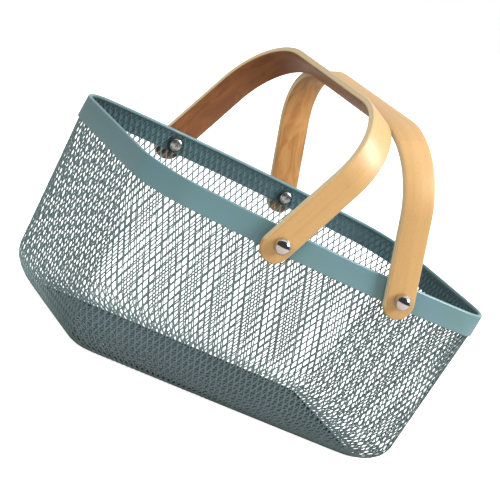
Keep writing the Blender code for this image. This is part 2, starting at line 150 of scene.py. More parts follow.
@dataclass(frozen=True)
class TubShape:
    """How the wall runs from its flat foot through the rounded bottom up to the rim."""

    rim: Outline = Outline(180 * MM, 125.3 * MM, 23.5 * MM, 1 * MM, 46.5 * MM)
    foot: Outline = Outline(165.9 * MM, 89.4 * MM, 1 * MM, 0.5 * MM, 12 * MM)
    height: float = 170 * MM
    band_height: float = 20.5 * MM
    band_thickness: float = 1.0 * MM
    mesh_inset: float = 1.5 * MM
    bottom_radius: float = 28.3 * MM
    seam_radius: float = 10 * MM
    flange: float = 6 * MM
    mesh_top: float = 166.3 * MM
    seat_bend: float = math.radians(10)

    @property
    def fillet_run(self) -> float:
        """Length of the rounded bottom along the wall."""
        return self.bottom_radius * math.pi / 2

    @property
    def run(self) -> float:
        """Length of the wall from the flange's inner edge to the top of the mesh."""
        return self.flange + self.fillet_run + self.mesh_top - self.bottom_radius

    @property
    def seat_run(self) -> float:
        """Where the floor panel's edge meets the rounded bottom, along the wall."""
        return self.flange + self.bottom_radius * self.seat_bend

    @functools.lru_cache(maxsize=None)
    def _levels(self, turn: float) -> tuple[Vector, Vector, Vector, Vector]:
        """Find where the wall starts and how it rises at one place round it.

        Args:
            turn: Share of the way round from the middle of the +X end.

        Returns:
            Foot point, way from it to the rim, and outward directions at foot and rim.
        """
        rim, rim_out = self.rim.point(turn)
        foot, foot_out = self.foot.point(turn)
        return foot, rim - rim_out * self.mesh_inset - foot, foot_out, rim_out

    @functools.lru_cache(maxsize=None)
    def _seam(self, turn: float, inset: float) -> Vector:
        """Point on the flat foot, so far inside the rounded bottom's end."""
        flat = self.foot.inset(self.bottom_radius + inset, self.seam_radius - inset)
        return flat.point(turn)[0]

    def formed(self, turn: float, run: float, depth: float) -> Vector:
        """Press a point of the flat sheet into the tub's shape.

        Args:
            turn: Share of the way round from the middle of the +X end.
            run: Distance up the wall from the flange's inner edge.
            depth: Distance in from the outer face.

        Returns:
            The point in the CAD's frame.
        """
        turn = round(turn, 7)
        foot, rise_way, foot_out, rim_out = self._levels(turn)
        bend = min(max((run - self.flange) / self.bottom_radius, 0.0), math.pi / 2)
        height = self.bottom_radius * (1 - math.cos(bend))
        height += max(run - self.flange - self.fillet_run, 0.0)
        rise = min(height / (self.height - self.band_height), 1.0)
        inset = round(max(self.flange - run, 0.0), 7)
        seam_way = self._seam(turn, inset) - foot
        place = foot + rise_way * rise + seam_way * (1 - math.sin(bend))
        out = foot_out.lerp(rim_out, rise).normalized()
        place = place - out * depth * math.sin(bend)
        return Vector((place.x, place.y, height + depth * math.cos(bend)))


# Hand modelling steps


class Piece:
    """One mesh on the bench, with the steps that shape, place and dress it."""

    def __init__(self, name: str) -> None:
        """Take hold of the primitive that was just added and name it.

        Args:
            name: Name of the piece.
        """
        self.obj = bpy.context.active_object
        self.obj.name = self.obj.data.name = name

    @property
    def name(self) -> str:
        """Name of the piece."""
        return self.obj.name

    def pick(self) -> None:
        """Select this piece alone."""
        bpy.ops.object.select_all(action="DESELECT")
        self.obj.select_set(True)
        bpy.context.view_layer.objects.active = self.obj

    @contextlib.contextmanager
    def editing(self) -> Iterator[None]:
        """Open the piece in edit mode with everything selected."""
        self.pick()
        bpy.ops.object.mode_set(mode="EDIT")
        bpy.ops.mesh.select_mode(type="VERT")
        bpy.ops.mesh.select_all(action="SELECT")
        yield
        bpy.ops.object.mode_set(mode="OBJECT")

    def choose(self, kind: str, wanted: Callable[[Any], bool]) -> int:
        """Select elements in edit mode by a test.

        Args:
            kind: "verts", "edges" or "faces".
            wanted: Test of one element.

        Returns:
            How many are selected.
        """
        bpy.ops.mesh.select_mode(type={"verts": "VERT", "edges": "EDGE", "faces": "FACE"}[kind])
        bpy.ops.mesh.select_all(action="DESELECT")
        bm = bmesh.from_edit_mesh(self.obj.data)
        chosen = [element for element in getattr(bm, kind) if wanted(element)]
        for element in chosen:
            element.select_set(True)
        bm.select_flush_mode()
        bmesh.update_edit_mesh(self.obj.data)
        return len(chosen)

    def face_out(self) -> None:
        """Turn every face outwards, in edit mode."""
        bpy.ops.mesh.select_all(action="SELECT")
        bpy.ops.mesh.normals_make_consistent(inside=False)

    def apply(self, kind: str, **settings: Any) -> None:
        """Add a modifier with its settings and apply it.

        Args:
            kind: Type of modifier.
            **settings: Its properties.
        """
        modifier = self.obj.modifiers.new(kind.title(), kind)
        for name, value in settings.items():
            setattr(modifier, name, value)
        self.pick()
        bpy.ops.object.modifier_apply(modifier=modifier.name)

    def cut(self, tool: "Piece") -> None:
        """Cut the piece with another one, which is used up.

        Args:
            tool: The cutter.
        """
        self.apply("BOOLEAN", operation="DIFFERENCE", object=tool.obj, solver="EXACT")
        bpy.data.objects.remove(tool.obj, do_unlink=True)

    def form(self, shape: Callable[[Vector], Vector]) -> None:
        """Move every point through a shape function.

        Args:
            shape: Gives a point's new place.
        """
        for vertex in self.obj.data.vertices:
            vertex.co = shape(vertex.co)
        self.obj.data.update()

    def put(self, place: Matrix) -> None:
        """Move the mesh itself, and leave the object at the origin.

        Args:
            place: Where the piece goes.
        """
        self.obj.data.transform(place @ self.obj.matrix_basis)
        self.obj.matrix_basis = Matrix.Identity(4)
        self.obj.data.update()

    def smooth(self, degrees: float = 35) -> None:
        """Shade the piece smooth below an edge angle.

        Args:
            degrees: Largest angle that stays smooth.
        """
        self.pick()
        bpy.ops.object.shade_smooth_by_angle(angle=math.radians(degrees))

    def dress(self, finish: "Finish", body: str, slot: str, *nodes: str) -> None:
        """Give the piece its finish and its place in the model.

        Args:
            finish: The finish.
            body: The CAD body that the piece rides on.
            slot: Not used.
            *nodes: The CAD nodes that it stands for.
        """
        self.obj.data.materials.clear()
        self.obj.data.materials.append(finish.material)
        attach(self.obj, body)
        if nodes:
            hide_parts(*nodes)
        log.info("%s: %d faces, %s", self.name, len(self.obj.data.polygons), finish.name)


def turned(name: str, profile: Sequence[tuple[float, float]], steps: int, closed: bool) -> Piece:
    """Draw a profile beside the Z axis and spin it all the way round.

    Args:
        name: Name of the piece.
        profile: Points of the profile, as radius and height.
        steps: Segments round the piece.
        closed: Whether the profile's last point joins its first.

    Returns:
        The turned piece.
    """
    bpy.ops.object.select_all(action="DESELECT")
    bpy.ops.mesh.primitive_plane_add(size=MM)
    piece = Piece(name)
    with piece.editing():
        bpy.ops.mesh.merge(type="CENTER")
        radius, height = profile[0]
        bpy.ops.transform.translate(value=(radius, 0.0, height))
        for before, after in zip(profile, profile[1:]):
            step = (after[0] - before[0], 0.0, after[1] - before[1])
            bpy.ops.mesh.extrude_vertices_move(TRANSFORM_OT_translate={"value": step})
        if closed:
            piece.choose("verts", lambda vertex: len(vertex.link_edges) == 1)
            bpy.ops.mesh.edge_face_add()
        bpy.ops.mesh.select_all(action="SELECT")
        bpy.ops.mesh.spin(
            steps=steps, angle=FULL_TURN, center=(0.0, 0.0, 0.0), axis=(0.0, 0.0, 1.0)
        )
        bpy.ops.mesh.select_all(action="SELECT")
        bpy.ops.mesh.remove_doubles(threshold=0.01 * MM)
        piece.face_out()
    return piece


def ring(bore: float, radius: float, high: float, ease: float) -> list[tuple[float, float]]:
    """Section of a ring with eased edges.

    Args:
        bore: Its inner radius.
        radius: Its outer radius.
        high: Its height.
        ease: How far the edges are cut back.

    Returns:
        Points of the section, as radius and height.
    """
    return [
        (bore, ease),
        (bore, high - ease),
        (bore + ease, high),
        (radius - ease, high),
        (radius, high - ease),
        (radius, ease),
        (radius - ease, 0.0),
        (bore + ease, 0.0),
    ]


def draw_diamonds(piece: Piece) -> None:
    """Redraw a quad sheet as diamonds, in edit mode.

    Each quad is poked to its middle, then the old edges are dissolved.

    Args:
        piece: The sheet.
    """
    bpy.ops.mesh.select_mode(type="FACE")
    bpy.ops.mesh.select_all(action="SELECT")
    bpy.ops.mesh.poke()
    piece.choose(
        "edges",
        lambda edge: not edge.is_boundary and all(len(v.link_edges) != 4 for v in edge.verts),
    )
    bpy.ops.mesh.dissolve_edges(use_verts=False, use_face_split=False)


def open_diamonds(piece: Piece, strand: float, least_area: float, top: float = 1.0) -> None:
    """Inset each diamond by half a strand and delete its inside, in edit mode.

    Args:
        piece: The sheet of diamonds.
        strand: Width of a strand.
        least_area: Diamonds cut down below this area stay solid.
        top: Diamonds whose middles lie above this height are left for later.
    """
    piece.choose(
        "faces",
        lambda face: face.calc_area() > least_area and face.calc_center_median().z < top,
    )
    bpy.ops.mesh.inset(thickness=strand / 2, use_individual=True, use_even_offset=True)
    bpy.ops.mesh.delete(type="FACE")


# Finishes

AddNode = Callable[..., Any]


def linear(code: str) -> tuple[float, float, float, float]:
    """Turn an sRGB hex colour to linear.

    Args:
        code: The colour, such as "#6F9198".

    Returns:
        Linear red, green, blue and alpha.
    """
    values = [int(code[i : i + 2], 16) / 255 for i in (1, 3, 5)]
    parts = [v / 12.92 if v <= 0.04045 else ((v + 0.055) / 1.055) ** 2.4 for v in values]
    return (parts[0], parts[1], parts[2], 1.0)


def tones(first: Any, second: Any) -> dict[int, Any]:
    """Colour inputs of a mix.

    Args:
        first: Colour at a share of nothing, a node or a hex code.
        second: Colour at a full share.

    Returns:
        What the inputs get, by number.
    """
    return {
        number: linear(tone) if isinstance(tone, str) else tone
        for number, tone in ((6, first), (7, second))
    }


def ramp(levels: tuple[float, float], most: float = 1.0) -> dict[int, float]:
    """Inputs of a range that grows from nothing between two levels.

    Args:
        levels: Where it leaves nothing and where it is full.
        most: Its full value.

    Returns:
        What the inputs get, by number.
    """
    return {1: levels[0], 2: levels[1], 4: most}


def add(tree: bpy.types.NodeTree, kind: str, inputs: dict[Any, Any], **settings: Any) -> Any:
    """Add a node with its settings and links.

    Args:
        tree: The node tree.
        kind: Type of the node, without its "ShaderNode".
        inputs: What each input gets, by name or number: a value, a socket, or a node, of which
            the first output in use is linked.
        **settings: The node's own properties.

    Returns:
        The node.
    """
    node = tree.nodes.new(f"ShaderNode{kind}")
    for name, value in settings.items():
        setattr(node, name, value)
    for key, value in inputs.items():
        if isinstance(value, bpy.types.Node):
            value = next(socket for socket in value.outputs if socket.enabled)
        if isinstance(value, bpy.types.NodeSocket):
            tree.links.new(value, node.inputs[key])
        else:
            node.inputs[key].default_value = value
    return node


@dataclass(frozen=True)
class Finish:
    """A finish, made once and shared by all the pieces that have it."""

    name: str

    @functools.cached_property
    def material(self) -> bpy.types.Material:
        """The finish's material."""
        material = bpy.data.materials.new(self.name)
        material.use_nodes = True
        tree = material.node_tree
        tree.nodes.clear()
        shader = add(tree, "BsdfPrincipled", self.surface(functools.partial(add, tree)))
        add(tree, "OutputMaterial", {"Surface": shader})
        return material

    def surface(self, node: AddNode) -> dict[str, Any]:
        """Add the nodes that feed the shader.

        Args:
            node: Adds a node to the material.

        Returns:
            What each of the shader's inputs gets, by name.
        """
        raise NotImplementedError


@dataclass(frozen=True)
class PowderCoat(Finish):
    """Satin powder coat on steel: an even colour, a fine orange peel and soft wide highlights."""

    colour: str = "#68909D"
    shade: str = "#688984"
    worn: str = "#88A6AB"
    wear: float = 0.35
    # How convex an edge is where the wear starts and where it is full
    edge: tuple[float, float] = (0.52, 0.6)
    roughness: float = 0.38
    # How far the gloss goes below and above that, between two levels of the grain
    roughness_reach: tuple[float, float] = (-0.05, 0.06)
    grain_levels: tuple[float, float] = (0.3, 0.7)
    # Peel and grain sizes of baked polyester powder, drawn a little coarser so that they show
    drift_size: float = 45 * MM
    peel_size: float = 1.1 * MM
    peel_depth: float = 0.03 * MM
    peel_strength: float = 0.25
    grain_size: float = 0.35 * MM
    # Painted shade on the strands where the mesh lies against the band and little light gets in
    # between them: its tone, where it starts and how far it fades in
    band_shadow: str = ""
    band_shadow_from: float = 149 * MM
    band_shadow_fade: float = 1.5 * MM

    def surface(self, node: AddNode) -> dict[str, Any]:
        """Add drifting tone, worn edges, painted shade against the band where set, uneven gloss and
        the peel's bump.

        Args:
            node: Adds a node to the material.

        Returns:
            What each of the shader's inputs gets, by name.
        """
        place = node("TexCoord", {}).outputs["Object"]
        sizes = ((self.drift_size, 3.0), (self.peel_size, 1.5), (self.grain_size, 1.0))
        drift, peel, grain = (
            node("TexNoise", {"Vector": place, "Scale": 1 / size, "Detail": detail})
            for size, detail in sizes
        )
        colour = node("Mix", {0: drift, **tones(self.shade, self.colour)}, data_type="RGBA")
        convex = node("NewGeometry", {}).outputs["Pointiness"]
        edge = node("MapRange", {0: convex, **ramp(self.edge)})
        wear = node("Math", {0: edge, 1: self.wear}, operation="MULTIPLY")
        colour = node("Mix", {0: wear, **tones(colour, self.worn)}, data_type="RGBA")
        # Painted shade: strands above the band's lower edge are darkened where they lie against the
        # band
        if self.band_shadow:
            height = node("SeparateXYZ", {0: place}).outputs[2]
            fade = (self.band_shadow_from, self.band_shadow_from + self.band_shadow_fade)
            band_shadow_share = node("MapRange", {0: height, **ramp(fade)})
            colour = node("Mix", {0: band_shadow_share, **tones(colour, self.band_shadow)}, data_type="RGBA")
        low, high = (self.roughness + reach for reach in self.roughness_reach)
        gloss = {0: grain, **ramp(self.grain_levels, high), 3: low}
        bump = {"Height": peel, "Strength": self.peel_strength, "Distance": self.peel_depth}
        return {
            "Base Color": colour,
            "Roughness": node("MapRange", gloss),
            "Normal": node("Bump", bump),
            "IOR": 1.5,
            "Coat Weight": 0.2,
            "Coat Roughness": 0.25,
        }


@dataclass(frozen=True)
class LacqueredBeech(Finish):
    """Bent beech veneers under clear lacquer: straight fine grain along the strip, short flecks,
    a soft sheen, and the veneers' layers on the edges."""

    light: str = "#D7AD71"
    dark: str = "#CB9D62"
    fleck: str = "#B07C4A"
    glue: str = "#8A6540"
    # Paler tone of the edge faces: the veneers' end grain, lifted by painted light
    edge: str = "#DFCA9F"
    # Inner faces' tones: mostly painted shade and warm bounce light, partly a redder inner veneer;
    # the left handle's copy is darker as painted shade, the right one's lighter as painted light
    inside: str = "#94552A"
    inside_dark: str = "#7A4122"
    # Real beech: pores under 0.1 mm, growth rings 2 to 4 mm, flecks 1 to 3 mm long. Each pair is
    # a length along the strip and a width across it, drawn a little coarser so that it shows.
    fibres: tuple[float, float] = (45 * MM, 0.45 * MM)
    rings: tuple[float, float] = (260 * MM, 5 * MM)
    swirls: tuple[float, float] = (42 * MM, 14 * MM)
    flecks: tuple[float, float] = (3.2 * MM, 0.35 * MM)
    # Levels of the noise between which each of them goes from nothing to full
    fibre_levels: tuple[float, float] = (0.3, 0.7)
    ring_levels: tuple[float, float] = (0.32, 0.68)
    swirl_levels: tuple[float, float] = (0.38, 0.6)
    fleck_levels: tuple[float, float] = (0.66, 0.76)
    fibre_share: float = 0.45
    fleck_share: float = 0.45
    fibre_depth: float = 0.04 * MM
    fibre_strength: float = 0.18
    half_width: float = 13.8 * MM
    # The edge faces get a paler tone, the veneers' end grain lifted by painted light: it fades in
    # over this distance from the edge
    edge_fade: tuple[float, float] = (0.7 * MM, 0.2 * MM)
    edge_share: float = 0.9
    # Depths below the outer face where the inner faces' darker, redder tone starts and is full:
    # mostly painted shade and warm bounce light, partly a redder inner veneer
    inside_shade_depth: tuple[float, float] = (5.0 * MM, 5.7 * MM)
    veneer: float = 1.2 * MM
    layers: int = 5
    veneer_tints: tuple[float, float] = (0.93, 1.06)
    glue_width: float = 0.1
    glue_share: float = 0.55
    roughness: tuple[float, float] = (0.46, 0.6)

    def surface(self, node: AddNode) -> dict[str, Any]:
        """Add the grain, flecks and layers, the paler edges partly lifted by painted light, and the
        painted shade of the inner faces, all laid along the strip by its own attribute.

        Args:
            node: Adds a node to the material.

        Returns:
            What each of the shader's inputs gets, by name.
        """
        strip = node("Attribute", {}, attribute_name="strip").outputs["Vector"]

        def streaks(size: tuple[float, float], detail: float = 0.0, wobble: float = 0.0) -> Any:
            """Add noise that is drawn out along the strip.

            Args:
                size: Its length along the strip and its width across it.
                detail: How many finer layers it has.
                wobble: How far it is distorted.

            Returns:
                The noise node.
            """
            scale = (1 / size[0], 1 / size[1], 1 / size[1])
            drawn = {"Vector": node("Mapping", {"Vector": strip, "Scale": scale}), "Scale": 1.0}
            return node("TexNoise", {**drawn, "Detail": detail, "Distortion": wobble})

        fibre = streaks(self.fibres, 2.0)
        fibres = node("MapRange", {0: fibre, **ramp(self.fibre_levels)})
        rings = node("MapRange", {0: streaks(self.rings, 3.0, 0.6), **ramp(self.ring_levels)})
        figure = node("Mix", {0: self.fibre_share, 2: rings, 3: fibres})
        wood = node("Mix", {0: figure, **tones(self.light, self.dark)}, data_type="RGBA")
        spots = {0: streaks(self.flecks), **ramp(self.fleck_levels, self.fleck_share)}
        spots = {0: node("MapRange", spots), **tones(wood, self.fleck)}
        wood = node("Mix", spots, data_type="RGBA")
        parts = node("SeparateXYZ", {0: strip}).outputs
        across = node("Math", {0: parts[1]}, operation="ABSOLUTE")
        fade = (self.half_width - self.edge_fade[0], self.half_width - self.edge_fade[1])
        edge = node("MapRange", {0: across, **ramp(fade, self.edge_share)})
        wood = node("Mix", {0: edge, **tones(wood, self.edge)}, data_type="RGBA")
        # The third part of the attribute is the depth below the outer face.
        depth = parts[2]
        # Painted shade on the inner faces: a darker, redder tone with a swirled figure, mixed in by
        # depth
        swirls = node("MapRange", {0: streaks(self.swirls, 3.0, 2.2), **ramp(self.swirl_levels)})
        inside = node("Mix", {0: swirls, **tones(self.inside_dark, self.inside)}, data_type="RGBA")
        inside_shade_share = node("MapRange", {0: depth, **ramp(self.inside_shade_depth, self.edge_share)})
        wood = node("Mix", {0: inside_shade_share, **tones(wood, inside)}, data_type="RGBA")
        count = node("Math", {0: depth, 1: 1 / self.veneer}, operation="MULTIPLY")
        layer = node("Math", {0: count}, operation="FLOOR")
        tint = node("TexWhiteNoise", {"W": layer}, noise_dimensions="1D")
        low, high = self.veneer_tints
        value = node("MapRange", {0: tint, 3: low, 4: high})
        wood = node("HueSaturation", {"Value": value, "Color": wood})
        off_line = node("Math", {0: count, 1: 1.0}, operation="PINGPONG")
        line = node("MapRange", {0: off_line, 1: self.glue_width, 2: 0.0})
        under = node("Math", {0: count, 1: 0.5}, operation="GREATER_THAN")
        over = node("Math", {0: count, 1: self.layers - 0.5}, operation="LESS_THAN")
        for share in (under, over, self.glue_share):
            line = node("Math", {0: line, 1: share}, operation="MULTIPLY")
        smooth, rough = self.roughness
        bump = {"Height": fibre, "Strength": self.fibre_strength, "Distance": self.fibre_depth}
        return {
            "Base Color": node("Mix", {0: line, **tones(wood, self.glue)}, data_type="RGBA"),
            "Roughness": node("MapRange", {0: fibres, 3: smooth, 4: rough}),
            "Normal": node("Bump", bump),
            "IOR": 1.45,
            "Coat Weight": 0.35,
            "Coat Roughness": 0.3,
        }


@dataclass(frozen=True)
class PlatedSteel(Finish):
    """Plated or blackened steel: one metal colour, with faint wiping marks in its gloss."""

    colour: str = "#D9DADC"
    shade: str = "#C9CBCE"
    roughness: float = 0.06
    spread: float = 0.05
    # Wiping marks are a few millimetres wide on hand-sized hardware
    mark_size: float = 3 * MM
    mark_levels: tuple[float, float] = (0.35, 0.7)
    metallic: float = 1.0

    def surface(self, node: AddNode) -> dict[str, Any]:
        """Add the marks to colour and gloss.

        Args:
            node: Adds a node to the material.

        Returns:
            What each of the shader's inputs gets, by name.
        """
        place = node("TexCoord", {}).outputs["Object"]
        noise = {"Scale": 1 / self.mark_size, "Detail": 4.0, "Distortion": 0.4}
        marks = node("TexNoise", {"Vector": place, **noise})
        mix = {0: marks, **tones(self.shade, self.colour)}
        levels = ramp(self.mark_levels, self.roughness + self.spread)
        return {
            "Base Color": node("Mix", mix, data_type="RGBA"),
            "Roughness": node("MapRange", {0: marks, **levels, 3: self.roughness}),
            "Metallic": self.metallic,
        }


@dataclass(frozen=True)
class WhitePaper(Finish):
    """Seamless studio paper, lit from below to plain white, that throws little light back."""

    colour: str = "#FAFAFA"
    bounce: str = "#9C9C9C"
    # In a real studio the paper ends near the basket, and the chrome mirrors the dark beyond.
    mirrored: str = "#CDBCB1"
    mirrored_far: str = "#404041"
    mirrored_reach: tuple[float, float] = (0.8, 2.2)
    roughness: tuple[float, float] = (0.85, 0.95)
    cloud_size: float = 1 / 3
    glow: float = 0.85

    def surface(self, node: AddNode) -> dict[str, Any]:
        """Add the paper's faint unevenness, its glow and its dimmer bounced light.

        Args:
            node: Adds a node to the material.

        Returns:
            What each of the shader's inputs gets, by name.
        """
        place = node("TexCoord", {}).outputs["Object"]
        cloud = node("TexNoise", {"Vector": place, "Scale": 1 / self.cloud_size})
        low, high = self.roughness
        path = node("LightPath", {}).outputs
        away = node("VectorMath", {0: place}, operation="LENGTH")
        far = {0: node("MapRange", {0: away, **ramp(self.mirrored_reach)})}
        mirrored = node(
            "Mix", {**far, **tones(self.mirrored, self.mirrored_far)}, data_type="RGBA"
        )
        diffuse = {0: path["Is Diffuse Ray"], **tones(self.colour, self.bounce)}
        lit = node("Mix", diffuse, data_type="RGBA")
        glossy = {0: path["Is Glossy Ray"], **tones(lit, mirrored)}
        return {
            "Base Color": node("Mix", glossy, data_type="RGBA"),
            "Roughness": node("MapRange", {0: cloud, 3: low, 4: high}),
            "Emission Strength": node("MapRange", {0: path["Is Camera Ray"], 3: 0.0, 4: self.glow}),
            "Emission Color": linear("#FFFFFF"),
            "Specular IOR Level": 0.1,
        }


BAND_COAT = PowderCoat("band_powder_coat")
MESH_COAT = PowderCoat(
    "mesh_powder_coat",
    colour="#6C8587",
    shade="#637A7A",
    worn="#809698",
    wear=0.1,
    roughness=0.45,
    # Painted shade on the strands that lie against the band
    band_shadow="#567179",
)
# The floor is the same powder coat as the wall; its darker colour is painted shade, for the shade
# that the walls throw on it
FLOOR_SHADE_COAT = PowderCoat(
    "floor_powder_coat", colour="#3B5159", shade="#34484E", worn="#495F67", wear=0.1, roughness=0.55
)
# Painted shadow: a dark coat for the ring that stands in the shadowed gap between the floor's edge
# and the wall
SEAM_SHADOW_COAT = PowderCoat(
    "seam_shadowed_coat", colour="#26363A", shade="#1C2A2E", worn="#35474C", wear=0.1, roughness=0.6
)
# Both handles are one beech: the left copy's darker inside is painted shade, the right copy's
# lighter inside is painted light
LEFT_SHADED_BEECH = LacqueredBeech("left_lacquered_beech")
RIGHT_LIT_BEECH = LacqueredBeech("right_lacquered_beech", inside="#D3995A", inside_dark="#B97B3F")
CHROME = PlatedSteel("polished_chrome_plate")
ZINC = PlatedSteel(
    "bright_zinc_plate", colour="#E1EAEE", shade="#C4CFD4", roughness=0.2, spread=0.1
)
BLACK_OXIDE = PlatedSteel(
    "black_oxide_steel",
    colour="#3A484B",
    shade="#2C3639",
    roughness=0.45,
    spread=0.15,
    metallic=0.2,
)


# Tub


@dataclass(frozen=True)
class MeshTub:
    """The wall and the floor of expanded mesh, and a dark ring at the seam where they meet, a
    painted shadow of the gap between them.
    """

    shape: TubShape
    columns: int = 174
    rows: int = 15
    pitch: float = 6.08 * MM
    # The strip was laid on a little askew: way round for each length down
    slant: float = 0.065
    strand: float = 0.97 * MM
    # The sheet is pulled open less where it turns under the floor: top of each zone, strand width
    bottom_strands: tuple[tuple[float, float], ...] = (
        (13 * MM, 3.0 * MM),
        (18.5 * MM, 2.6 * MM),
        (23.5 * MM, 2.1 * MM),
        (29 * MM, 1.5 * MM),
    )
    least_wall_hole: float = 10 * MM**2
    thickness: float = 1.0 * MM
    twist: float = 0.15 * MM
    # A point with more edges than this is one where strands cross
    most_edges: int = 5
    floor_strand: float = 1.1 * MM
    floor_thickness: float = 1.2 * MM
    easing: float = 0.12 * MM
    floor_columns: int = 26
    floor_rows: int = 21
    floor_facets: int = 96
    trim_tolerance: float = 0.0001 * MM
    trim_merge: float = 0.02 * MM
    floor_gap: float = 0.3 * MM
    floor_lift: float = 0.9 * MM
    least_floor_hole: float = 7 * MM**2
    # The dark ring along the floor's edge is painted shadow, for the gap between floor and wall:
    # its section, and how far it stands above the floor
    seam_height: float = 2.4 * MM
    seam_width: float = 1.2 * MM
    seam_lift: float = 0.9 * MM
    seam_ease: float = 0.3

    def build(self) -> None:
        """Make the wall, the floor and the dark ring of painted shadow at their seam."""
        self.make_wall()
        self.make_floor()
        self.make_seam_shadow()

    def make_wall(self) -> None:
        """Weave the wall flat round a hoop, then press it into the tub."""
        hoop = self.columns * self.pitch / FULL_TURN
        step = self.shape.run / self.rows
        bpy.ops.object.select_all(action="DESELECT")
        bpy.ops.mesh.primitive_circle_add(vertices=self.columns, radius=hoop, fill_type="NOTHING")
        wall = Piece("wall_weave")
        with wall.editing():
            for _ in range(self.rows):
                bpy.ops.mesh.extrude_region_move(TRANSFORM_OT_translate={"value": (0, 0, step)})
            draw_diamonds(wall)
            for top, strand in (*self.bottom_strands, (self.shape.height * 2, self.strand)):
                open_diamonds(wall, strand, self.least_wall_hole, top)
            wall.face_out()
        wall.apply("SOLIDIFY", thickness=self.thickness, offset=-1.0)
        crossings = self.crossings(wall)
        middle = hoop - self.thickness / 2

        def press(index: int, point: Vector) -> Vector:
            """Ease and twist the strands, slant them and press the sheet into shape.

            Args:
                index: The point's index.
                point: Its place on the round hoop.

            Returns:
                Its place in the tub.
            """
            turn = math.atan2(point.y, point.x) / FULL_TURN
            ease, lift = self.easing, self.twist_at(turn, point.z)
            turn += self.slant * (self.shape.run - point.z) / (FULL_TURN * hoop)
            if index in crossings:
                ease = 0.0
            depth = ease if point.xy.length > middle else self.thickness - ease
            return self.shape.formed(turn, point.z, depth + self.twist / 2 - lift)

        for vertex in wall.obj.data.vertices:
            vertex.co = press(vertex.index, vertex.co.copy())
        wall.smooth(80)
        wall.dress(MESH_COAT, "basket", "mesh_coating", "wall_mesh")

    def twist_at(self, turn: float, run: float) -> float:
        """Find how far a strand's edge stands out where the slit sheet was pulled open.

        Args:
            turn: Share of the way round the wall.
            run: Distance up the wall.

        Returns:
            Distance outwards: positive just below a crossing and negative just above one.
        """
        wide, tall = self.pitch / 2, self.shape.run / self.rows / 2
        column, row = 2 * turn * self.columns, run / tall
        near = [(round(column) + i, round(row) + j) for i in (-1, 0, 1) for j in (-1, 0, 1)]
        across, up = min(
            (((column - c) * wide, (row - r) * tall) for c, r in near if (c + r) % 2 == 0),
            key=lambda way: math.hypot(*way),
        )
        return 0.0 if abs(up) < abs(across) else -math.copysign(self.twist / 2, up)

    def crossings(self, piece: Piece) -> set[int]:
        """Find the points where strands cross, which lie on their middle lines.

        Args:
            piece: A thickened sheet of mesh.

        Returns:
            Their indices.
        """
        count = [0] * len(piece.obj.data.vertices)
        for edge in piece.obj.data.edges:
            for index in edge.vertices:
                count[index] += 1
        return {index for index, number in enumerate(count) if number > self.most_edges}

    def floor_edge(self) -> list[Vector]:
        """Find the floor panel's outline inside the wall's rounded bottom.

        Returns:
            Points round the outline.
        """
        points = []
        for i in range(self.floor_facets):
            turn = i / self.floor_facets
            place = self.shape.formed(turn, self.shape.seat_run, self.thickness)
            out = self.shape.foot.inset(self.shape.bottom_radius, self.shape.seam_radius)
            points.append(place - out.point(turn)[1].to_3d() * self.floor_gap)
        return points

    def make_floor(self) -> None:
        """Weave the floor flat, trim it to its rounded outline and thicken it."""
        edge = self.floor_edge()
        low = edge[0].z + self.floor_lift
        half_length = max(point.x for point in edge)
        half_width = max(point.y for point in edge)
        bpy.ops.object.select_all(action="DESELECT")
        bpy.ops.mesh.primitive_grid_add(
            x_subdivisions=self.floor_columns, y_subdivisions=self.floor_rows, size=2.0
        )
        floor = Piece("floor_weave")
        with floor.editing():
            bpy.ops.transform.resize(value=(half_length, half_width, 1.0))
            draw_diamonds(floor)
            for i, point in enumerate(edge):
                following = edge[(i + 1) % len(edge)]
                along = following - point
                bpy.ops.mesh.select_all(action="SELECT")
                bpy.ops.mesh.bisect(
                    plane_co=(point.x, point.y, 0.0),
                    plane_no=(along.y, -along.x, 0.0),
                    clear_outer=True,
                    threshold=self.trim_tolerance,
                )
            bpy.ops.mesh.select_all(action="SELECT")
            bpy.ops.mesh.remove_doubles(threshold=self.trim_merge)
            open_diamonds(floor, self.floor_strand, self.least_floor_hole)
            floor.face_out()
        floor.apply("SOLIDIFY", thickness=self.floor_thickness, offset=-1.0)
        crossings = self.crossings(floor)
        for vertex in floor.obj.data.vertices:
            ease = 0.0 if vertex.index in crossings else self.easing
            drawn = abs(vertex.co.z) < self.floor_thickness / 2
            vertex.co.z = low + (self.floor_thickness - ease if drawn else ease)
        with floor.editing():
            floor.face_out()
        floor.smooth(80)
        # The floor's darker coat is painted shade
        floor.dress(FLOOR_SHADE_COAT, "basket", "mesh_coating", "floor_mesh")

    def make_seam_shadow(self) -> None:
        """Turn a dark ring, a painted shadow of the gap between the floor's edge and the wall, then
        lay it round the floor.
        """
        hoop = self.shape.foot.half_length
        half = self.seam_width / 2
        ease = self.seam_ease * self.seam_width
        profile = ring(hoop - half, hoop + half, self.seam_height, ease)
        seam = turned("floor_seam_shadow", profile, self.floor_facets * 3, closed=True)
        shape = self.shape
        flat = shape.foot.inset(shape.bottom_radius, shape.seam_radius)

        def lay(point: Vector) -> Vector:
            """Lay the dark ring of painted shadow on the rounded bottom beside the floor's edge.

            Args:
                point: Place on the round hoop.

            Returns:
                Place in the tub.
            """
            turn = math.atan2(point.y, point.x) / FULL_TURN
            place = shape.formed(turn, shape.seat_run, self.thickness)
            out = flat.point(turn)[1].to_3d() * (point.xy.length - hoop - half)
            return place + out + Vector((0.0, 0.0, point.z + self.seam_lift))

        seam.form(lay)
        seam.smooth(60)
        seam.dress(SEAM_SHADOW_COAT, "basket", "mesh_coating")


